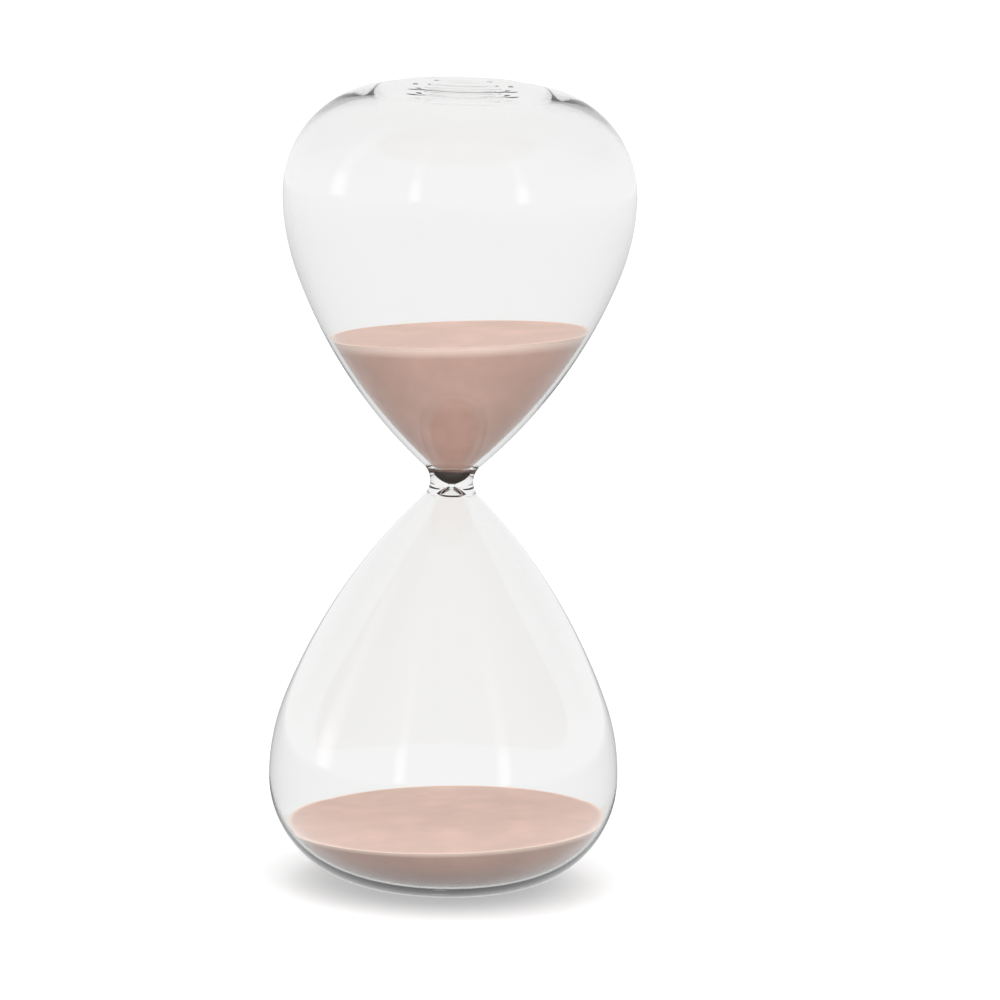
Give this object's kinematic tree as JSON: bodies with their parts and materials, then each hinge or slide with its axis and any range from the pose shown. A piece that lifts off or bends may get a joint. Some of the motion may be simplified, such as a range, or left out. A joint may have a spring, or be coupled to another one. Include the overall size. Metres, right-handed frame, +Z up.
{
  "type": "hourglass",
  "caption": "Frameless sand timer: twin blown-glass bulbs with flat ends, joined at a thick narrow throat, with dusty pink sand in both bulbs.",
  "frame": {"origin": "on the axis, in the plane of the lower flat ring that it stands on", "axes": "+Z up along the axis from the lower bulb to the upper bulb, +X to the right as seen from the front (-Y)"},
  "size_m": [0.0864, 0.0864, 0.2],
  "materials": {
    "clear_glass": "polished",
    "sand": "matte"
  },
  "bodies": {
    "root": {"lower_bulb": "clear_glass", "upper_bulb": "clear_glass", "throat": "clear_glass", "fill_seal": "clear_glass", "lower_sand": "sand", "upper_sand": "sand"}
  },
  "joints": []
}
